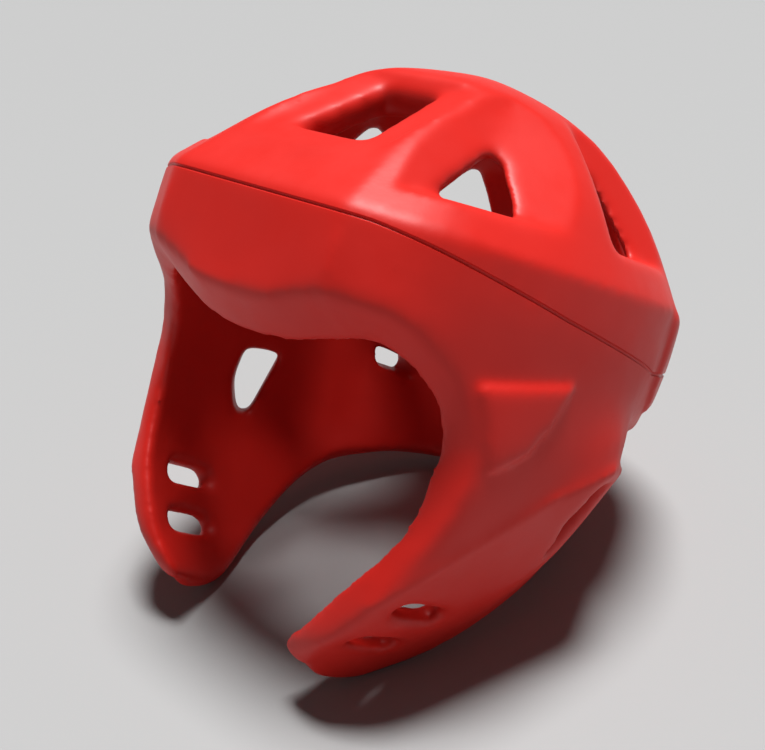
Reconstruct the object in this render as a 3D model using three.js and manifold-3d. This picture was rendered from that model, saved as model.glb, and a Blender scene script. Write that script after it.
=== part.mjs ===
import * as THREE from "three";
import { mergeVertices } from "three/addons/utils/BufferGeometryUtils.js";
import Module from "manifold-3d";

// Padded head guard in one moulding of skinned foam: a crown with eight vents, a faceted brow panel,
// cheek guards with slots, a raised boss on each side, ear openings and a nape. It is hollow, and open
// at the face and at the neck. Lengths are millimetres and angles degrees. The form is set out upright,
// with x across (wearer's left positive), y from front to back and z up from the ridge above the brow.
// At the end it is turned to the way it lies on a table, on the two chin tips and the nape.

const wasm = await Module();
wasm.setup();

// Outer size of the form, from the ridge and the middle of the head.
const HALF_WIDTH = 100;
const FRONT_REACH = 110;
const BACK_REACH = 116;
const CROWN_RISE = 69.5;
const CHIN_DROP = 178;

// Thickness of the padded wall.
const WALL = 17;

// Raised side boss, raised rear panel, and the jaw that stands proud below the crease.
const BOSS_PROUD = 3;
const PANEL_PROUD = 2.6;
const JAW_PROUD = 1.6;

// Parting line of the mould.
const SEAM_WIDTH = 1.4;
const SEAM_DEPTH = 1;

// Slots in the cheek guards.
const SLOT_HEIGHT = 10;
const UPPER_SLOT_LENGTH = 29;
const LOWER_SLOT_LENGTH = 28;

// Backward slant of the ear openings, as y per x, and how much foam the table wears flat.
const EAR_SLANT = 1;
const REST_WEAR = 2;

const RED = 0xc8322b;

const table = (columns, rows) => rows.map((row) => Object.fromEntries(columns.map((name, k) => [name, row[k]])));

// Points are shares of the sizes: across of the half width, along of the front or back reach, and up of
// the crown rise or of the chin drop. A ring runs down one side, from the middle of the front to the
// middle of the back, and its mirror image closes it.
const POINT = ["across", "along", "up"];

const RIDGE_RING = table(POINT, [
  [0, -0.995, 0],
  [0.23, -0.995, 0],
  [0.45, -0.995, 0],
  [0.72, -0.823, 0],
  [0.9, -0.473, 0],
  [0.985, -0.091, 0],
  [0.98, 0.19, 0],
  [0.935, 0.349, 0],
  [0.685, 0.75, 0],
  [0.34, 0.948, 0],
  [0, 0.991, 0],
]);

const BAND_RING = table(POINT, [
  [0, -0.995, -0.124],
  [0.23, -0.995, -0.124],
  [0.46, -0.995, -0.124],
  [0.73, -0.827, -0.124],
  [0.915, -0.473, -0.124],
  [1, -0.091, -0.124],
  [0.995, 0.19, -0.124],
  [0.94, 0.341, -0.124],
  [0.693, 0.757, -0.124],
  [0.34, 0.966, -0.124],
  [0, 1.009, -0.124],
]);

const BROW_RING = table(POINT, [
  [0, -0.995, -0.253],
  [0.23, -0.995, -0.253],
  [0.465, -0.982, -0.253],
  [0.73, -0.818, -0.253],
  [0.91, -0.473, -0.253],
  [0.995, -0.127, -0.247],
  [1.005, 0.103, -0.23],
  [0.935, 0.328, -0.242],
  [0.685, 0.733, -0.253],
  [0.33, 0.922, -0.253],
  [0, 0.966, -0.253],
]);

const CHEEK_RING = table(POINT, [
  [0, -1.018, -0.562],
  [0.25, -1.009, -0.562],
  [0.5, -0.945, -0.551],
  [0.74, -0.745, -0.517],
  [0.905, -0.509, -0.455],
  [1, -0.155, -0.343],
  [1.035, 0.086, -0.298],
  [0.93, 0.328, -0.315],
  [0.67, 0.716, -0.326],
  [0.32, 0.905, -0.331],
  [0, 0.948, -0.337],
]);

const CREASE_RING = table(POINT, [
  [0, -1.018, -0.927],
  [0.22, -0.982, -0.916],
  [0.44, -0.873, -0.871],
  [0.66, -0.655, -0.775],
  [0.84, -0.509, -0.635],
  [0.99, -0.164, -0.444],
  [1.055, 0.078, -0.357],
  [0.93, 0.328, -0.376],
  [0.66, 0.69, -0.382],
  [0.32, 0.888, -0.388],
  [0, 0.94, -0.393],
]);

const JAW_RING = table(POINT, [
  [0, -0.982, -0.966],
  [0.2, -0.945, -0.961],
  [0.4, -0.827, -0.927],
  [0.571, -0.635, -0.848],
  [0.696, -0.427, -0.798],
  [0.829, -0.106, -0.691],
  [0.907, 0.051, -0.596],
  [0.804, 0.355, -0.539],
  [0.581, 0.654, -0.511],
  [0.295, 0.832, -0.5],
  [0, 0.9, -0.494],
]);

const RIM_RING = table(POINT, [
  [0, -0.864, -1],
  [0.18, -0.836, -1],
  [0.3, -0.709, -1],
  [0.38, -0.509, -0.994],
  [0.46, -0.282, -0.983],
  [0.6, 0.026, -0.882],
  [0.69, 0.25, -0.73],
  [0.66, 0.422, -0.669],
  [0.49, 0.681, -0.601],
  [0.27, 0.836, -0.579],
  [0, 0.897, -0.567],
]);

const INNER_RIDGE = table(POINT, [
  [0, -0.968, 0],
  [0.289, -0.962, 0],
  [0.554, -0.925, 0],
  [0.807, -0.774, 0],
  [0.952, -0.452, 0],
  [0.994, -0.086, 0],
  [0.976, 0.253, 0],
  [0.855, 0.566, 0],
  [0.614, 0.828, 0],
  [0.325, 0.97, 0],
  [0, 1.01, 0],
]);

const INNER_BROW = table(POINT, [
  [0, -1, -0.253],
  [0.289, -0.989, -0.253],
  [0.566, -0.957, -0.253],
  [0.819, -0.817, -0.253],
  [0.976, -0.484, -0.253],
  [1, -0.086, -0.253],
  [0.982, 0.253, -0.253],
  [0.843, 0.566, -0.253],
  [0.602, 0.808, -0.253],
  [0.313, 0.939, -0.253],
  [0, 0.98, -0.253],
]);

const INNER_EAR = table(POINT, [
  [0, -1.022, -0.421],
  [0.289, -1.011, -0.421],
  [0.566, -0.968, -0.421],
  [0.819, -0.828, -0.421],
  [0.964, -0.516, -0.421],
  [0.988, -0.108, -0.421],
  [0.964, 0.253, -0.421],
  [0.819, 0.545, -0.421],
  [0.578, 0.778, -0.421],
  [0.301, 0.909, -0.421],
  [0, 0.949, -0.421],
]);

const INNER_CHEEK = table(POINT, [
  [0, -1.032, -0.579],
  [0.289, -1.011, -0.579],
  [0.554, -0.946, -0.579],
  [0.771, -0.817, -0.579],
  [0.916, -0.559, -0.579],
  [0.952, -0.161, -0.579],
  [0.916, 0.202, -0.579],
  [0.759, 0.465, -0.579],
  [0.542, 0.687, -0.579],
  [0.289, 0.848, -0.579],
  [0, 0.909, -0.579],
]);

const INNER_JAW = table(POINT, [
  [0, -1.043, -0.702],
  [0.265, -1.011, -0.702],
  [0.506, -0.925, -0.702],
  [0.675, -0.817, -0.702],
  [0.807, -0.613, -0.702],
  [0.849, -0.237, -0.702],
  [0.807, 0.081, -0.702],
  [0.687, 0.333, -0.702],
  [0.506, 0.566, -0.702],
  [0.265, 0.727, -0.702],
  [0, 0.788, -0.702],
]);

const INNER_CHIN = table(POINT, [
  [0, -0.989, -0.843],
  [0.241, -0.957, -0.843],
  [0.422, -0.871, -0.843],
  [0.53, -0.774, -0.843],
  [0.627, -0.559, -0.843],
  [0.675, -0.258, -0.843],
  [0.639, 0, -0.843],
  [0.53, 0.222, -0.843],
  [0.361, 0.384, -0.843],
  [0.181, 0.475, -0.843],
  [0, 0.505, -0.843],
]);

const INNER_RIM = table(POINT, [
  [0, -0.753, -1],
  [0.145, -0.731, -1],
  [0.265, -0.667, -1],
  [0.337, -0.559, -1],
  [0.386, -0.43, -1],
  [0.398, -0.301, -1],
  [0.373, -0.172, -1],
  [0.313, -0.054, -1],
  [0.217, 0.03, -1],
  [0.108, 0.081, -1],
  [0, 0.101, -1],
]);

const NECK_INNER_EDGE = table(POINT, [
  [0, -0.968, -0.955],
  [0.241, -0.86, -0.944],
  [0.361, -0.667, -0.922],
  [0.434, -0.538, -0.942],
  [0.458, -0.409, -0.956],
  [0.506, -0.28, -0.944],
  [0.566, -0.172, -0.904],
  [0.627, -0.054, -0.854],
  [0.687, 0.101, -0.781],
  [0.723, 0.253, -0.708],
  [0.723, 0.424, -0.652],
  [0.675, 0.606, -0.621],
  [0.554, 0.758, -0.587],
  [0.301, 0.889, -0.562],
  [0, 0.939, -0.556],
]);

const NECK_OUTER_EDGE = table(POINT, [
  [0, -1, -0.989],
  [0.24, -0.818, -0.966],
  [0.34, -0.618, -0.932],
  [0.4, -0.491, -0.965],
  [0.44, -0.364, -0.985],
  [0.48, -0.255, -0.988],
  [0.53, -0.145, -0.955],
  [0.59, -0.036, -0.91],
  [0.66, 0.086, -0.848],
  [0.7, 0.224, -0.764],
  [0.7, 0.388, -0.685],
  [0.64, 0.543, -0.64],
  [0.51, 0.69, -0.604],
  [0.28, 0.836, -0.573],
  [0, 0.897, -0.567],
]);

const FACE_INNER_EDGE = table(POINT, [
  [0, -0.989, -0.315],
  [0.241, -0.989, -0.298],
  [0.398, -0.978, -0.275],
  [0.566, -0.957, -0.247],
  [0.675, -0.903, -0.236],
  [0.771, -0.849, -0.256],
  [0.819, -0.785, -0.287],
  [0.867, -0.72, -0.329],
  [0.904, -0.677, -0.399],
  [0.904, -0.667, -0.494],
  [0.867, -0.677, -0.579],
  [0.747, -0.742, -0.702],
  [0.627, -0.753, -0.775],
  [0.53, -0.747, -0.837],
  [0.45, -0.7, -0.902],
  [0.428, -0.62, -0.946],
  [0.422, -0.5, -0.982],
  [0.42, -0.38, -1.348],
]);

const FACE_OUTER_EDGE = table(POINT, [
  [0, -0.991, -0.219],
  [0.17, -0.991, -0.216],
  [0.3, -0.991, -0.191],
  [0.47, -0.982, -0.169],
  [0.58, -0.909, -0.177],
  [0.67, -0.827, -0.194],
  [0.76, -0.745, -0.225],
  [0.835, -0.636, -0.272],
  [0.89, -0.536, -0.371],
  [0.89, -0.527, -0.483],
  [0.87, -0.555, -0.59],
  [0.8, -0.591, -0.702],
  [0.72, -0.618, -0.775],
  [0.61, -0.627, -0.843],
  [0.55, -0.612, -0.89],
  [0.495, -0.56, -0.938],
  [0.46, -0.47, -0.975],
  [0.45, -0.36, -1.348],
]);

// Shares of the ridge ring at each height of the dome.
const DOME = table(["up", "front", "side", "back"], [
  [0.981, 0.12, 0.13, 0.14],
  [0.918, 0.28, 0.31, 0.32],
  [0.794, 0.45, 0.5, 0.52],
  [0.604, 0.61, 0.665, 0.7],
  [0.41, 0.745, 0.795, 0.83],
  [0.196, 0.875, 0.905, 0.93],
]);
const INNER_DOME = table(["up", "front", "side", "back"], [
  [0.962, 0.14, 0.2, 0.2],
  [0.895, 0.3, 0.42, 0.45],
  [0.762, 0.46, 0.62, 0.66],
  [0.543, 0.64, 0.78, 0.83],
  [0.267, 0.82, 0.93, 0.94],
]);

// Crown vents. Each recess narrows to a hole, and the hole goes on straight to the throat inside.
const FRONT_RECESS = table(POINT, [[-0.34, -0.827, 0.266], [0.34, -0.827, 0.266], [0.345, -0.37, 0.83], [-0.345, -0.37, 0.83]]);
const FRONT_HOLE = table(POINT, [[-0.195, -0.755, 0.353], [0.195, -0.755, 0.353], [0.14, -0.4, 0.75], [-0.14, -0.4, 0.75]]);
const FRONT_THROAT = table(POINT, [[-0.195, -0.5, 0.23], [0.195, -0.5, 0.23], [0.14, -0.31, 0.49], [-0.14, -0.31, 0.49]]);
const BACK_RECESS = table(POINT, [[-0.29, 0.87, 0.26], [0.29, 0.87, 0.26], [0.29, 0.47, 0.72], [-0.29, 0.47, 0.72]]);
const BACK_HOLE = table(POINT, [[-0.26, 0.82, 0.29], [0.26, 0.82, 0.29], [0.13, 0.52, 0.63], [-0.13, 0.52, 0.63]]);
const BACK_THROAT = table(POINT, [[-0.26, 0.59, 0.17], [0.26, 0.59, 0.17], [0.13, 0.36, 0.46], [-0.13, 0.36, 0.46]]);

// Side vents are triangles: lower front corner, lower rear corner and top, of recess, hole and throat.
const SIDE_VENTS = [
  [
    table(POINT, [[0.5, -0.845, 0.151], [0.84, -0.327, 0.201], [0.36, -0.245, 0.856]]),
    table(POINT, [[0.525, -0.727, 0.165], [0.705, -0.473, 0.18], [0.49, -0.427, 0.532]]),
    table(POINT, [[0.38, -0.618, 0.165], [0.56, -0.327, 0.18], [0.34, -0.327, 0.345]]),
  ],
  [
    table(POINT, [[0.9, -0.1, 0.187], [0.84, 0.379, 0.201], [0.44, 0.01, 0.82]]),
    table(POINT, [[0.79, -0.03, 0.187], [0.75, 0.207, 0.201], [0.55, 0, 0.65]]),
    table(POINT, [[0.6, -0.13, 0.187], [0.58, 0.3, 0.201], [0.42, -0.15, 0.58]]),
  ],
  [
    table(POINT, [[0.77, 0.517, 0.187], [0.36, 0.853, 0.201], [0.31, 0.397, 0.806]]),
    table(POINT, [[0.7, 0.526, 0.194], [0.39, 0.776, 0.209], [0.38, 0.5, 0.647]]),
    table(POINT, [[0.5, 0.414, 0.187], [0.3, 0.603, 0.201], [0.26, 0.362, 0.489]]),
  ],
];

// Openings in the sides, seen from the side. The ear opening is given where the form is widest.
const SIDE_POINT = ["along", "up"];
const EAR_OUTLINE = table(SIDE_POINT, [[0.026, -0.404], [0.233, -0.404], [0.241, -0.416], [0.155, -0.584], [0.078, -0.59], [0.009, -0.506]]);
const REAR_RECESS = table(POINT, [[1.04, 0.11, -0.225], [1.04, 0.76, -0.225], [1.04, 0.76, -0.371], [1.04, 0.13, -0.371]]);
const REAR_HOLE = table(POINT, [[0.8, 0.46, -0.3], [0.8, 0.68, -0.3], [0.8, 0.68, -0.371], [0.8, 0.47, -0.371]]);
const REAR_THROAT = table(POINT, [[0.45, 0.6, -0.355], [0.45, 0.67, -0.355], [0.45, 0.67, -0.39], [0.45, 0.6, -0.39]]);

// Middle of each slot. The slots pass the cheek guard square to its outer face.
const SLOTS = table([...POINT, "length"], [
  [0.77, -0.382, -0.764, UPPER_SLOT_LENGTH],
  [0.63, -0.409, -0.86, LOWER_SLOT_LENGTH],
]);
const SLOT_AIM = [0.85, -0.32, -0.42];
const SLOT_RUN = [0, 1, -0.13];

// Raised areas, seen from the side.
const BOSS_OUTLINE = table(SIDE_POINT, [[-0.6, -0.253], [-0.236, -0.211], [-0.277, -0.267], [-0.309, -0.309], [-0.364, -0.36], [-0.482, -0.41]]);
const PANEL_OUTLINE = table(SIDE_POINT, [[0.345, -0.006], [1.4, -0.006], [1.4, -0.236], [0.38, -0.236], [0.345, -0.16]]);

// The jaw lies below the crease, down to under the chin and out past the nape.
const JAW_OUTLINE = [...CREASE_RING, { along: 1.4, up: -0.4 }, { along: 1.4, up: -1.3 }, { along: -1.1, up: -1.3 }];

// Parting line seen from the side: along the ridge, down along the side, then level to the back.
const SEAM_PATH = table(SIDE_POINT, [[-1.3, -0.01], [-0.95, -0.013], [-0.6, -0.055], [-0.34, -0.086], [-0.09, -0.11], [0.16, -0.134], [0.26, -0.148], [1.4, -0.148]]);

// Where it touches the table: a chin tip and the middle of the nape.
const CHIN_TOUCH = { across: 0.53, along: -0.125, up: -0.934 };
const NAPE_TOUCH = { across: 0.09, along: 0.889, up: -0.57 };

// Pieces between two neighbouring points of a half ring. Rings have a corner at points 2 and 7.
const STEPS = [2, 2, 4, 4, 4, 4, 3, 4, 4, 3];
const CORNERS = [2, 7];

// Spans of rows from top to bottom, with the pieces between two rows. The form has an edge between spans.
const OUTER_SPANS = [
  { from: 0, to: 6, pieces: [1, 2, 2, 2, 2, 2] },
  { from: 6, to: 10, pieces: [3, 2, 2, 3] },
  { from: 10, to: 13, pieces: [3, 3, 1] },
];
const INNER_SPANS = [{ from: 0, to: 12, pieces: [1, 1, 2, 2, 2, 3, 2, 2, 2, 2, 2, 1] }];

const OUTSIDE = { width: HALF_WIDTH, front: FRONT_REACH, back: BACK_REACH, rise: CROWN_RISE, drop: CHIN_DROP };
const INSIDE = {
  width: HALF_WIDTH - WALL,
  front: FRONT_REACH - WALL,
  back: BACK_REACH - WALL,
  rise: CROWN_RISE - WALL,
  drop: CHIN_DROP,
};

// The point that a table row stands for.
function place(row, sizes = OUTSIDE) {
  const x = row.across * sizes.width;
  const y = row.along * (row.along < 0 ? sizes.front : sizes.back);
  const z = row.up * (row.up > 0 ? sizes.rise : sizes.drop);
  return new THREE.Vector3(x, y, z);
}

const placed = (rows, sizes) => rows.map((row) => place(row, sizes));
const between = (a, b, share) => a.clone().lerp(b, share);
const flipped = (point) => new THREE.Vector3(-point.x, point.y, point.z);
const middle = (points) => points.reduce((sum, p) => sum.add(p), new THREE.Vector3()).divideScalar(points.length);

// A half ring and its mirror image, rounded between the corners.
function roundRing(half) {
  const full = [...half, ...half.slice(1, -1).reverse().map(flipped)];
  const last = half.length - 1;
  const [front, rear] = CORNERS;
  const corners = [-front, front, rear, full.length - rear, full.length - front];
  const ring = [];
  for (let span = 0; span < corners.length - 1; span++) {
    const stops = [];
    for (let k = corners[span]; k <= corners[span + 1]; k++) stops.push((k + full.length) % full.length);
    const curve = new THREE.CatmullRomCurve3(stops.map((k) => full[k]), false, "catmullrom", 0.5);
    for (let i = 0; i < stops.length - 1; i++) {
      const fold = (k) => (k > last ? full.length - k : k);
      const steps = STEPS[Math.min(fold(stops[i]), fold(stops[i + 1]))];
      for (let j = 0; j < steps; j++) ring.push(curve.getPoint((i + j / steps) / (stops.length - 1)));
    }
  }
  return ring;
}

// Rings from top to bottom, with more of them rounded in between.
function rounded(halves, spans) {
  const rings = halves.map(roundRing);
  const result = [];
  for (const { from, to, pieces } of spans) {
    const curves = rings[0].map((_, k) => {
      const column = rings.slice(from, to + 1).map((ring) => ring[k]);
      return new THREE.CatmullRomCurve3(column, false, "catmullrom", 0.5);
    });
    for (let i = 0; i < to - from; i++) {
      for (let j = 0; j < pieces[i]; j++) {
        result.push(curves.map((curve) => curve.getPoint((i + j / pieces[i]) / (to - from))));
      }
    }
  }
  result.push(rings[rings.length - 1]);
  return result;
}

// The closed body through a row of loops with equal counts, with a fan at each end.
function loft(loops, start = middle(loops[0]), end = middle(loops[loops.length - 1])) {
  const count = loops[0].length;
  const corners = [...loops.flat(), start, end];
  const index = (row, k) => row * count + (k % count);
  const faces = [];
  for (let k = 0; k < count; k++) {
    for (let row = 0; row < loops.length - 1; row++) {
      faces.push([index(row, k), index(row + 1, k), index(row, k + 1)]);
      faces.push([index(row, k + 1), index(row + 1, k), index(row + 1, k + 1)]);
    }
    faces.push([corners.length - 2, index(0, k), index(0, k + 1)]);
    faces.push([corners.length - 1, index(loops.length - 1, k + 1), index(loops.length - 1, k)]);
  }
  const normal = new THREE.Vector3();
  const volume = faces.reduce((sum, [a, b, c]) => sum + corners[a].dot(normal.crossVectors(corners[b], corners[c])), 0);
  const outward = volume < 0 ? faces.map(([a, b, c]) => [a, c, b]) : faces;
  const geometry = new THREE.BufferGeometry().setFromPoints(corners);
  geometry.setIndex(outward.flat());
  return geometry;
}

function toSolid(geometry) {
  const bare = geometry.clone();
  bare.deleteAttribute("normal");
  bare.deleteAttribute("uv");
  const merged = mergeVertices(bare, 1e-4);
  const mesh = new wasm.Mesh({
    numProp: 3,
    vertProperties: new Float32Array(merged.attributes.position.array),
    triVerts: new Uint32Array(merged.index.array),
  });
  return new wasm.Manifold(mesh);
}

function toGeometry(solid) {
  const mesh = solid.getMesh();
  const geometry = new THREE.BufferGeometry();
  geometry.setAttribute("position", new THREE.BufferAttribute(new Float32Array(mesh.vertProperties), 3));
  geometry.setIndex(new THREE.BufferAttribute(new Uint32Array(mesh.triVerts), 1));
  geometry.computeVertexNormals();
  return geometry;
}

const bothSides = (solid) => solid.add(solid.mirror([1, 0, 0]));

// Outer form, swollen outward or drawn in by a length, and the head space inside.
function outerForm(swell = 0) {
  const sizes = { ...OUTSIDE, width: HALF_WIDTH + swell, front: FRONT_REACH + swell, back: BACK_REACH + swell };
  const rims = [RIDGE_RING, BAND_RING, BROW_RING, CHEEK_RING, CREASE_RING, JAW_RING, RIM_RING];
  const halves = [...DOME.map((level) => domeRing(RIDGE_RING, level, sizes)), ...rims.map((rows) => placed(rows, sizes))];
  halves.push(below(halves[halves.length - 1]));
  return toSolid(loft(rounded(halves, OUTER_SPANS), new THREE.Vector3(0, 2, CROWN_RISE)));
}

function innerForm() {
  const rims = [INNER_RIDGE, INNER_BROW, INNER_EAR, INNER_CHEEK, INNER_JAW, INNER_CHIN, INNER_RIM];
  const halves = [...INNER_DOME.map((level) => domeRing(INNER_RIDGE, level, INSIDE)), ...rims.map((rows) => placed(rows, INSIDE))];
  halves.push(below(halves[halves.length - 1]));
  return toSolid(loft(rounded(halves, INNER_SPANS), new THREE.Vector3(0, 2, INSIDE.rise)));
}

function domeRing(rows, level, sizes) {
  return placed(rows, sizes).map((point) => {
    const share = point.y < 0 ? level.front : level.back;
    return new THREE.Vector3(point.x * level.side, point.y * share, level.up * sizes.rise);
  });
}

// The last ring drawn in and far down, where the neck cut takes everything away.
function below(ring) {
  return ring.map((point) => new THREE.Vector3(point.x * 0.8, point.y * 0.9, point.z - 0.3 * CHIN_DROP));
}

// A half outline with more points rounded in between.
function roundHalf(points) {
  const curve = new THREE.CatmullRomCurve3(points, false, "catmullrom", 0.5);
  return curve.getPoints(2 * (points.length - 1));
}

// A cut whose bevel joins an inner edge to an outer edge and goes on past both.
function openingCut(inner, outer, leave) {
  const near = roundHalf(inner);
  const far = roundHalf(outer);
  const before = near.map((point, k) => between(point, far[k], -0.5));
  const after = near.map((point, k) => between(point, far[k], 2.5));
  const rings = [before, near, far, after, after.map(leave)];
  return toSolid(loft(rings.map((half) => [...half, ...half.filter((p) => p.x > 0.5).reverse().map(flipped)])));
}

function faceCut() {
  const leave = (point) => new THREE.Vector3(point.x, -2 * FRONT_REACH, point.z);
  return openingCut(placed(FACE_INNER_EDGE, INSIDE), placed(FACE_OUTER_EDGE), leave);
}

function neckCut() {
  const leave = (point) => new THREE.Vector3(point.x, point.y, -2 * CHIN_DROP);
  return openingCut(placed(NECK_INNER_EDGE, INSIDE), placed(NECK_OUTER_EDGE), leave);
}

// A vent with a recess of four sloping sides.
function trayVent(recess, hole, throat) {
  const outward = new THREE.Vector3().subVectors(middle(recess), middle(throat)).normalize();
  const above = recess.map((point) => point.clone().addScaledVector(outward, CROWN_RISE / 2));
  return toSolid(loft([above, recess, hole, throat]));
}

// A vent with a recess of three sloping planes that would meet in a point inside.
function wedgeVent(recess, hole, throat) {
  const wall = (a, b) => {
    const plane = new THREE.Plane();
    return plane.setFromCoplanarPoints(recess[a], recess[b], between(hole[a], hole[b], 0.5));
  };
  const walls = [wall(0, 1), wall(1, 2), wall(2, 0)];
  const normals = walls.map((plane) => plane.normal);
  const matrix = new THREE.Matrix3().set(...normals.flatMap((normal) => normal.toArray())).invert();
  const tip = new THREE.Vector3(...walls.map((plane) => -plane.constant)).applyMatrix3(matrix);
  const rays = [[2, 0], [0, 1], [1, 2]].map(([a, b], k) => {
    const edge = new THREE.Vector3().crossVectors(normals[a], normals[b]).normalize();
    if (edge.dot(recess[k].clone().sub(tip)) < 0) edge.negate();
    return tip.clone().addScaledVector(edge, 1.7 * HALF_WIDTH);
  });
  const above = hole.map((point, k) => between(throat[k], point, 1.15));
  return toSolid(loft([rays], tip)).add(toSolid(loft([above, throat])));
}

function ventCuts() {
  const front = trayVent(placed(FRONT_RECESS), placed(FRONT_HOLE), placed(FRONT_THROAT));
  const back = trayVent(placed(BACK_RECESS), placed(BACK_HOLE), placed(BACK_THROAT));
  const sides = SIDE_VENTS.map((rows) => bothSides(wedgeVent(...rows.map((row) => placed(row)))));
  return [front, back, ...sides];
}

// A straight bar through the left side from x to x + depth, with an outline seen from the side.
function sideBar(outline, x, depth, slant = 0) {
  const points = outline.map(({ along, up }) => place({ across: 0, along, up }));
  const shape = new THREE.Shape(points.map((point) => new THREE.Vector2(point.y, point.z)));
  const geometry = new THREE.ExtrudeGeometry(shape, { depth, bevelEnabled: false, steps: 1 });
  const turn = new THREE.Matrix4().set(0, 0, 1, x, 1, 0, slant, slant * (x - HALF_WIDTH), 0, 1, 0, 0, 0, 0, 0, 1);
  return toSolid(geometry.applyMatrix4(turn));
}

function sideOpenings() {
  const ear = sideBar(EAR_OUTLINE, 0.55 * HALF_WIDTH, 0.75 * HALF_WIDTH, EAR_SLANT);
  const rear = toSolid(loft([placed(REAR_RECESS), placed(REAR_HOLE), placed(REAR_THROAT)]));
  return [bothSides(ear), bothSides(rear)];
}

// A slot with round ends.
function slotCut(row) {
  const radius = SLOT_HEIGHT / 2;
  const reach = row.length / 2 - radius;
  const shape = new THREE.Shape();
  shape.absarc(reach, 0, radius, -Math.PI / 2, Math.PI / 2, false);
  shape.absarc(-reach, 0, radius, Math.PI / 2, 1.5 * Math.PI, false);
  const depth = 3.6 * WALL;
  const geometry = new THREE.ExtrudeGeometry(shape, { depth, bevelEnabled: false, curveSegments: 6, steps: 1 });
  geometry.translate(0, 0, -0.65 * depth);
  const aim = new THREE.Vector3(...SLOT_AIM).normalize();
  const lengthwise = new THREE.Vector3(...SLOT_RUN).projectOnPlane(aim).normalize();
  const upward = new THREE.Vector3().crossVectors(aim, lengthwise);
  geometry.applyMatrix4(new THREE.Matrix4().makeBasis(lengthwise, upward, aim).setPosition(place(row)));
  return bothSides(toSolid(geometry));
}

// Raised areas: the swollen form where the outline lies.
function raisedAreas() {
  const boss = sideBar(BOSS_OUTLINE, 0.6 * HALF_WIDTH, HALF_WIDTH);
  const panel = sideBar(PANEL_OUTLINE, -1.5 * HALF_WIDTH, 3 * HALF_WIDTH);
  const jaw = sideBar(JAW_OUTLINE, -1.5 * HALF_WIDTH, 3 * HALF_WIDTH);
  return [
    bothSides(boss).intersect(outerForm(BOSS_PROUD)),
    panel.intersect(outerForm(PANEL_PROUD)),
    jaw.intersect(outerForm(JAW_PROUD)),
  ];
}

// The groove of the parting line: a thin sheet, where it lies outside the form drawn in by the depth.
function seamCut() {
  const path = SEAM_PATH.map((row) => place({ across: 0, ...row }));
  const edge = (lift) => path.map((point) => new THREE.Vector2(point.y, point.z + lift));
  const shape = new THREE.Shape([...edge(SEAM_WIDTH / 2), ...edge(-SEAM_WIDTH / 2).reverse()]);
  const depth = 3 * HALF_WIDTH;
  const geometry = new THREE.ExtrudeGeometry(shape, { depth, bevelEnabled: false, steps: 1 });
  const turn = new THREE.Matrix4().set(0, 0, 1, -depth / 2, 1, 0, 0, 0, 0, 1, 0, 0, 0, 0, 0, 1);
  const panel = sideBar(PANEL_OUTLINE, -depth / 2, depth).intersect(outerForm(PANEL_PROUD - SEAM_DEPTH));
  return toSolid(geometry.applyMatrix4(turn)).subtract(outerForm(-SEAM_DEPTH)).subtract(panel);
}

// The guard upright, worn flat where it touches the table, then turned back onto chin tips and nape.
function restingShell() {
  const form = raisedAreas().reduce((sum, area) => sum.add(area), outerForm());
  const cuts = [innerForm(), faceCut(), neckCut(), seamCut(), ...ventCuts(), ...sideOpenings(), ...SLOTS.map(slotCut)];
  const upright = cuts.reduce((rest, cut) => rest.subtract(cut), form);
  const chin = place(CHIN_TOUCH);
  const nape = place(NAPE_TOUCH);
  const pitch = Math.atan2(nape.z - chin.z, nape.y - chin.y);
  const lying = toGeometry(upright).rotateX(-pitch);
  lying.computeBoundingBox();
  const { min, max } = lying.boundingBox;
  const size = new THREE.Vector3().subVectors(max, min);
  const table = new THREE.BoxGeometry(2 * size.x, 2 * size.y, size.z);
  table.translate((min.x + max.x) / 2, (min.y + max.y) / 2, min.z + REST_WEAR - size.z / 2);
  const worn = toGeometry(upright.subtract(toSolid(table.rotateX(pitch)))).rotateX(-pitch);
  worn.computeBoundingBox();
  const box = worn.boundingBox;
  return worn.translate(-(box.min.x + box.max.x) / 2, -(box.min.y + box.max.y) / 2, -box.min.z);
}

const headgear = new THREE.Group();
const skin = new THREE.MeshStandardMaterial({ color: RED, roughness: 0.55, metalness: 0 });
const shell = new THREE.Mesh(restingShell(), skin);
shell.name = "headgear_shell";
headgear.add(shell);

export default headgear;
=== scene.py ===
# %% [markdown]
# # A padded head guard, dressed in red foam skin
# The object is one moulding of soft foam with a vinyl skin: crown, brow panel, cheek guards and nape in
# a single piece. The frame gives its solid, which has the right size and every opening but hard edges and
# flat facets. This lesson turns a copy of that solid into the soft moulding, adds the fine parting line and
# gives it the skin's colour and grain. Lengths are metres where MM turns millimetres into them, and plain
# millimetres where they are compared on the guard itself.

import math

import bmesh
import bpy
from mathutils import Matrix, Vector
from mathutils.bvhtree import BVHTree
from mathutils.kdtree import KDTree


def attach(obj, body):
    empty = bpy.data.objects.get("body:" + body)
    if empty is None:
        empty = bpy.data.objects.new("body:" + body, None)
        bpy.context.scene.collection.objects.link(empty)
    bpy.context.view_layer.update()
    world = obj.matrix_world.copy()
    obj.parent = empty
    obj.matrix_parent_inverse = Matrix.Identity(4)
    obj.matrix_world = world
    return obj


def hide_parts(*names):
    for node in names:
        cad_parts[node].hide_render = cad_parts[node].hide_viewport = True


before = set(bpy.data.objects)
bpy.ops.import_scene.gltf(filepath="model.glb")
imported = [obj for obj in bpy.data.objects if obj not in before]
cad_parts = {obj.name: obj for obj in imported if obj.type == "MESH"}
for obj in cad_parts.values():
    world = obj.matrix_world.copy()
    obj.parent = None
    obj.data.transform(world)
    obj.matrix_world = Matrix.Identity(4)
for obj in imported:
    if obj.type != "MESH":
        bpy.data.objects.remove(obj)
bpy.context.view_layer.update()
MM = 0.001


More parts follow.
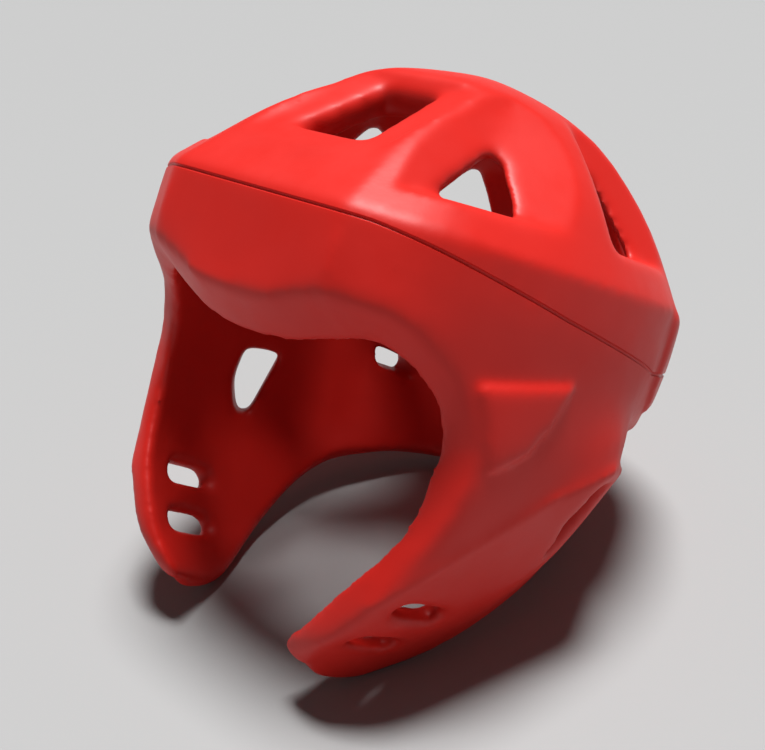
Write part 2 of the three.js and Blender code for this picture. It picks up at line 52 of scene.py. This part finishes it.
# %% [markdown]
# ## The camera
# The camera stands where the photograph was taken from: in front of the wearer's left cheek and above the
# table, looking down at about 27 degrees. The picture is 765 pixels wide, and a focal length of 1150 pixels
# is 54 mm on Blender's 36 mm sensor. A camera could also be aimed at the guard by a constraint. Here its
# place and turn were worked out from the photograph, so both are set as they are.

# %% Set up the camera
IMAGE_WIDTH = 765
FOCAL_PIXELS = 1150
SENSOR_WIDTH = 36
CAMERA_PLACE = (308.1, -325.0, 315.9)
CAMERA_TURN = (62.429, 3.047, 43.919)

camera_data = bpy.data.cameras.new("photo_camera")
camera_data.sensor_width = SENSOR_WIDTH
camera_data.lens = FOCAL_PIXELS * SENSOR_WIDTH / IMAGE_WIDTH
camera = bpy.data.objects.new("photo_camera", camera_data)
bpy.context.scene.collection.objects.link(camera)
camera.location = Vector(CAMERA_PLACE) * MM
camera.rotation_euler = [math.radians(angle) for angle in CAMERA_TURN]
bpy.context.scene.camera = camera
print("lens", round(camera_data.lens, 2))


# %% [markdown]
# ## The floor
# The guard lies on something plain and pale, so a large flat plane with matt paint is enough. It is a
# middle grey and not white, because a white floor throws so much light up that the underside of the brow
# loses its shade.

# %% Lay the floor
FLOOR_SIZE = 12
FLOOR_SHADE = 0.34


def deselect_all():
    bpy.ops.object.select_all(action="DESELECT")


def grey(level):
    return (level, level, level, 1)


deselect_all()
bpy.ops.mesh.primitive_plane_add(size=FLOOR_SIZE, location=(0, 0, 0))
floor = bpy.context.object
floor.name = "floor"

floor_paint = bpy.data.materials.new("pale_floor")
floor_paint.use_nodes = True
floor_shader = floor_paint.node_tree.nodes["Principled BSDF"]
floor_shader.inputs["Base Color"].default_value = grey(FLOOR_SHADE)
floor_shader.inputs["Roughness"].default_value = 0.7
floor_shader.inputs["Specular IOR Level"].default_value = 0.2
floor.data.materials.append(floor_paint)
print("floor", FLOOR_SIZE, "m wide")


# %% [markdown]
# ## The light
# In the photograph the crown is bright, and the brow, the sides and the underside are darker. Area lamps
# could do that, but they would leave pools of light on the floor. A wide soft sun, above and a little
# behind, lights the floor evenly. The surroundings are dim above and pale near the horizon, so that a low
# view shows a plain pale background.

# %% Hang the sun and paint the surroundings
SUN_TOWARD = (-0.02, 0.17, 1)
SUN_WIDTH = math.radians(20)
SUN_STRENGTH = 5.6
HORIZON_SHADE, OVERHEAD_SHADE = 0.52, 0.07
HORIZON_END, OVERHEAD_START = 0.08, 0.2


def ramp(tree, source, stops):
    node = tree.nodes.new("ShaderNodeValToRGB")
    for element, (place, color) in zip(node.color_ramp.elements, stops):
        element.position = place
        element.color = color
    tree.links.new(source, node.inputs["Fac"])
    return node.outputs["Color"]


sun_data = bpy.data.lights.new("key", "SUN")
sun_data.angle = SUN_WIDTH
sun_data.energy = SUN_STRENGTH
sun = bpy.data.objects.new("key", sun_data)
bpy.context.scene.collection.objects.link(sun)
sun.rotation_euler = Vector(SUN_TOWARD).to_track_quat("Z", "Y").to_euler()

sky = bpy.data.worlds.new("studio")
sky.use_nodes = True
sky_tree = sky.node_tree
direction = sky_tree.nodes.new("ShaderNodeTexCoord")
split = sky_tree.nodes.new("ShaderNodeSeparateXYZ")
sky_tree.links.new(direction.outputs["Generated"], split.inputs["Vector"])
sky_stops = [(HORIZON_END, grey(HORIZON_SHADE)), (OVERHEAD_START, grey(OVERHEAD_SHADE))]
shade = ramp(sky_tree, split.outputs["Z"], sky_stops)
sky_tree.links.new(shade, sky_tree.nodes["Background"].inputs["Color"])
bpy.context.scene.world = sky
bpy.context.scene.view_settings.view_transform = "Standard"
print("sun strength", SUN_STRENGTH)


# %% [markdown]
# ## The guard upright
# The guard rests tipped back on its chin tips and its nape, but a maker thinks of it as it is worn. Heights
# such as that of the ridge are therefore given with it upright, where the ridge begins near height 0 at the
# front. Two small functions turn a point from upright to resting and back.

# %% Turn points between upright and resting
UPRIGHT_PITCH = math.radians(29.003)
UPRIGHT_SHIFT = Vector((0, 16.53, 138.78)) * MM
TIP_BACK = Matrix.Rotation(-UPRIGHT_PITCH, 3, "X")


def at_rest(point):
    return TIP_BACK @ Vector(point) + UPRIGHT_SHIFT


def upright(point):
    return TIP_BACK.transposed() @ (Vector(point) - UPRIGHT_SHIFT)


HEAD_CENTRE = at_rest((0, 0, -40 * MM))
print("head centre at rest", [round(c, 4) for c in HEAD_CENTRE])


# %% [markdown]
# ## Sorting the edges
# The real moulding is soft, but not evenly: the broad domes are smooth, the creases and the corners of the
# recesses still read, and the rims of the openings are round. A single bevel would treat them all alike,
# so the edges of the solid are sorted by how they bend. The copy is merged first, because its triangles are
# loose. A sharp edge that points outwards is a rim, any other that bends enough is a crease, and a crease as
# sharp as a rim is a corner too. On the inside only the rims count, as the lining side is smooth. Each edge
# leaves marks along it, less than two millimetres apart.

# %% Copy and merge the solid, and mark its edges
CREASE_ANGLE = math.radians(14)
RIM_ANGLE = math.radians(50)

source = bpy.data.objects["headgear_shell"]
skin = bpy.data.objects.new("foam_skin", source.data.copy())
bpy.context.scene.collection.objects.link(skin)
skin.data.materials.clear()

mesh = bmesh.new()
mesh.from_mesh(skin.data)
bmesh.ops.remove_doubles(mesh, verts=mesh.verts, dist=0.01 * MM)
crease_points, corner_points, rim_points = [], [], []
for edge in mesh.edges:
    bend = edge.calc_face_angle(0)
    if bend < CREASE_ANGLE:
        continue
    a, b = (v.co for v in edge.verts)
    pieces = max(1, int((b - a).length / MM))
    along = [a.lerp(b, k / pieces) for k in range(pieces + 1)]
    facing = edge.link_faces[0].normal + edge.link_faces[1].normal
    if bend > RIM_ANGLE and edge.is_convex:
        rim_points += along
    elif facing.dot(a - HEAD_CENTRE) > 0:
        crease_points += along
        if bend > RIM_ANGLE:
            corner_points += along
mesh.to_mesh(skin.data)
mesh.free()
print("merged", len(skin.data.vertices), "points")
print("marks", len(crease_points), "on creases,", len(rim_points), "on rims")


# %% [markdown]
# ## An even grid of faces
# A subdivision surface would need a mesh of four-sided faces, which a solid cut by booleans doesn't have. A
# voxel remesh gives an even grid of small faces all over instead, and the edges stay about where they were.

# %% Remesh
SKIN_VOXEL = 1.4 * MM


def make_active(piece):
    deselect_all()
    piece.select_set(True)
    bpy.context.view_layer.objects.active = piece


def add_and_apply(piece, kind, **settings):
    modifier = piece.modifiers.new(kind.lower(), kind)
    for name, value in settings.items():
        setattr(modifier, name, value)
    make_active(piece)
    bpy.ops.object.modifier_apply(modifier=modifier.name)


add_and_apply(skin, "REMESH", mode="VOXEL", voxel_size=SKIN_VOXEL, use_smooth_shade=True)
print("grid", len(skin.data.polygons), "faces")


# %% [markdown]
# ## Which points are rounded, and how far
# Each point gets two weights from how near the marks are. The broad domes need much smoothing, until no
# facet shows. The creases and the corners of the recesses would melt away, so they get little. The rims are
# in between: soft foam has no sharp rim, and a remesh leaves a small zigzag along a sharp one. The corners
# round the raised boss and the rear panel, which lie below the ridge, are kept crisper than those of the
# vents above it, and the two chin tips are rounded most of all.

# %% Weigh the points
DOME_FROM, DOME_FULL = 4, 13
RIM_FULL, RIM_END = 4, 8
KEPT_FULL, KEPT_END = 2, 5
BELOW_RIDGE, CHIN_FROM, CHIN_TO = -8, -150, -163
CRISP_BELOW, CRISP_ABOVE, CRISP_CREASE = 0.9, 0.35, 0.3


def marked(points):
    finder = KDTree(len(points))
    for k, point in enumerate(points):
        finder.insert(point, k)
    finder.balance()
    return finder


def ramp_up(value, low, high):
    return min(1, max(0, (value - low) / (high - low)))


creases, corners, rims = marked(crease_points), marked(corner_points), marked(rim_points)
broad = skin.vertex_groups.new(name="broad")
rounded = skin.vertex_groups.new(name="rounded_rim")
for vertex in skin.data.vertices:
    to_crease = creases.find(vertex.co)[2] / MM
    to_corner = corners.find(vertex.co)[2] / MM
    to_rim = rims.find(vertex.co)[2] / MM
    broad.add([vertex.index], ramp_up(min(to_crease, to_rim), DOME_FROM, DOME_FULL), "REPLACE")
    height = upright(vertex.co).z / MM
    crispness = CRISP_BELOW if height < BELOW_RIDGE else CRISP_ABOVE
    kept_corner = crispness * (1 - ramp_up(to_corner, KEPT_FULL, KEPT_END))
    kept_crease = CRISP_CREASE * (1 - ramp_up(to_crease, KEPT_FULL, KEPT_END))
    near_rim = (1 - max(kept_corner, kept_crease)) * (1 - ramp_up(to_rim, RIM_FULL, RIM_END))
    at_chin = ramp_up(-height, -CHIN_FROM, -CHIN_TO)
    rounded.add([vertex.index], max(near_rim, at_chin), "REPLACE")
print("weighed", len(skin.data.vertices), "points")


# %% [markdown]
# ## From facets to foam
# The smoothing runs three times: on the domes, on the rims and, a little, on all of it. It draws the
# surface in, so the surface is then swollen back to the solid's size. The even grid is finer than the
# smooth result needs, so about half of its faces are thinned out.

# %% Smooth, swell and thin
DOME_ROUNDS, RIM_ROUNDS, LAST_ROUNDS = 130, 44, 9
SWELL = 0.65 * MM
THINNED = 0.52

add_and_apply(skin, "SMOOTH", factor=0.5, iterations=DOME_ROUNDS, vertex_group="broad")
add_and_apply(skin, "SMOOTH", factor=0.5, iterations=RIM_ROUNDS, vertex_group="rounded_rim")
add_and_apply(skin, "SMOOTH", factor=0.5, iterations=LAST_ROUNDS)
add_and_apply(skin, "DISPLACE", strength=SWELL, mid_level=0)
add_and_apply(skin, "DECIMATE", ratio=THINNED)
print("skin", len(skin.data.polygons), "faces")


# %% [markdown]
# ## Where the parting line runs
# The two halves of the mould met along a line that follows the ridge above the brow and then drops along
# the side to the back. Its height is given at a few places from front to back, with the guard upright. It
# could be drawn by hand on the surface, but rays find it exactly: each is shot from outside towards the
# middle at the line's height. That height depends on how far forward the ray lands, which isn't known
# beforehand, so each ray is tried a few times, and every try takes its height from where the last one landed.

# %% Find the line on the surface
SEAM_PATH = [
    (-143, -1.8), (-104.5, -2.3), (-66, -9.8), (-37.4, -15.3),
    (-9.9, -19.6), (18.6, -23.9), (30.2, -26.3), (162, -26.3),
]
SEAM_POINTS = 240
SEAM_TRIES = 4
FIRST_REACH = 110
OUTSIDE_REACH = 160


def seam_height(y):
    for (y0, z0), (y1, z1) in zip(SEAM_PATH, SEAM_PATH[1:]):
        if y0 <= y <= y1:
            return z0 + (z1 - z0) * (y - y0) / (y1 - y0)
    return SEAM_PATH[-1][1]


surface = BVHTree.FromObject(skin, bpy.context.evaluated_depsgraph_get())
seam_points = []
for k in range(SEAM_POINTS):
    angle = 2 * math.pi * k / SEAM_POINTS
    reach = FIRST_REACH
    for _ in range(SEAM_TRIES):
        height = seam_height(-math.cos(angle) * reach)
        outside = at_rest((
            math.sin(angle) * OUTSIDE_REACH * MM,
            -math.cos(angle) * OUTSIDE_REACH * MM,
            height * MM,
        ))
        centre = at_rest((0, 0, height * MM))
        hit = surface.ray_cast(outside, (centre - outside).normalized())[0]
        reach = (hit - centre).length / MM
    seam_points.append(hit)
print("line", len(seam_points), "points")


# %% [markdown]
# ## The groove
# The mould left a fine groove along that line. A bump in the material could show it, but the mesh wouldn't
# have it, and a groove in the solid would be lost in the remesh. So it is cut last: a thin round cord is
# laid on the surface along the line and taken away with a boolean.

# %% Cut the groove
SEAM_RADIUS = 0.85 * MM
SHADING_ANGLE = math.radians(50)

curve = bpy.data.curves.new("parting_cord", "CURVE")
curve.dimensions = "3D"
curve.bevel_depth = SEAM_RADIUS
curve.bevel_resolution = 2
spline = curve.splines.new("POLY")
spline.points.add(len(seam_points) - 1)
for cord_point, point in zip(spline.points, seam_points):
    cord_point.co = (*point, 1)
spline.use_cyclic_u = True
cord = bpy.data.objects.new("parting_cord", curve)
bpy.context.scene.collection.objects.link(cord)
make_active(cord)
bpy.ops.object.convert(target="MESH")
add_and_apply(skin, "BOOLEAN", operation="DIFFERENCE", object=cord, solver="MANIFOLD")
bpy.data.objects.remove(cord)
make_active(skin)
bpy.ops.object.shade_smooth_by_angle(angle=SHADING_ANGLE)
print("skin with groove", len(skin.data.polygons), "faces")


# %% [markdown]
# ## The red
# The guard is dipped in vinyl of a deep red, a little uneven where hands and the mould have rubbed it. A
# painted picture could carry that, but soft noise on Object coordinates needs no picture, has no seam and
# stays with the piece.

# %% Mix the red
DEEP_RED = (0.58, 0.014, 0.009, 1)
BRIGHT_RED = (0.66, 0.019, 0.013, 1)

red_skin = bpy.data.materials.new("red_foam_skin")
red_skin.use_nodes = True
tree = red_skin.node_tree
shader = tree.nodes["Principled BSDF"]
where = tree.nodes.new("ShaderNodeTexCoord")


def noise(scale, detail):
    node = tree.nodes.new("ShaderNodeTexNoise")
    node.inputs["Scale"].default_value = scale
    node.inputs["Detail"].default_value = detail
    node.inputs["Roughness"].default_value = 0.55
    tree.links.new(where.outputs["Object"], node.inputs["Vector"])
    return node.outputs["Fac"]


clouds = noise(scale=14, detail=3)
red = ramp(tree, clouds, [(0.3, DEEP_RED), (0.7, BRIGHT_RED)])
tree.links.new(red, shader.inputs["Base Color"])
print("red from", DEEP_RED[:3], "to", BRIGHT_RED[:3])


# %% [markdown]
# ## The polish and the pebble
# The skin is smooth and a little waxy, so bright edges shine softly, and it is shinier in places where it
# has been rubbed. A very fine pebble and some shallow dents show when one looks close. They are far too
# fine to be modelled, so a bump does them.

# %% Polish the skin and give it its pebble
SHINY, DULL = 0.4, 0.544
GLOSS = 0.28


def bump(height, strength, distance):
    node = tree.nodes.new("ShaderNodeBump")
    node.inputs["Strength"].default_value = strength
    node.inputs["Distance"].default_value = distance
    tree.links.new(height, node.inputs["Height"])
    return node


rubbing = noise(scale=45, detail=4)
polish = ramp(tree, rubbing, [(0.3, grey(SHINY)), (0.75, grey(DULL))])
tree.links.new(polish, shader.inputs["Roughness"])
shader.inputs["Specular IOR Level"].default_value = GLOSS

pebble = bump(noise(scale=900, detail=2), strength=0.12, distance=0.15 * MM)
dents = bump(noise(scale=60, detail=2), strength=0.25, distance=0.5 * MM)
tree.links.new(pebble.outputs["Normal"], dents.inputs["Normal"])
tree.links.new(dents.outputs["Normal"], shader.inputs["Normal"])

skin.data.materials.clear()
skin.data.materials.append(red_skin)
for face in skin.data.polygons:
    face.material_index = 0
print("material", red_skin.name)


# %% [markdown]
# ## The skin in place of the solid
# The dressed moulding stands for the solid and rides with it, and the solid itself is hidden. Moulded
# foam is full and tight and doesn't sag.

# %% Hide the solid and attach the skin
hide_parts("headgear_shell")
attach(skin, "root")
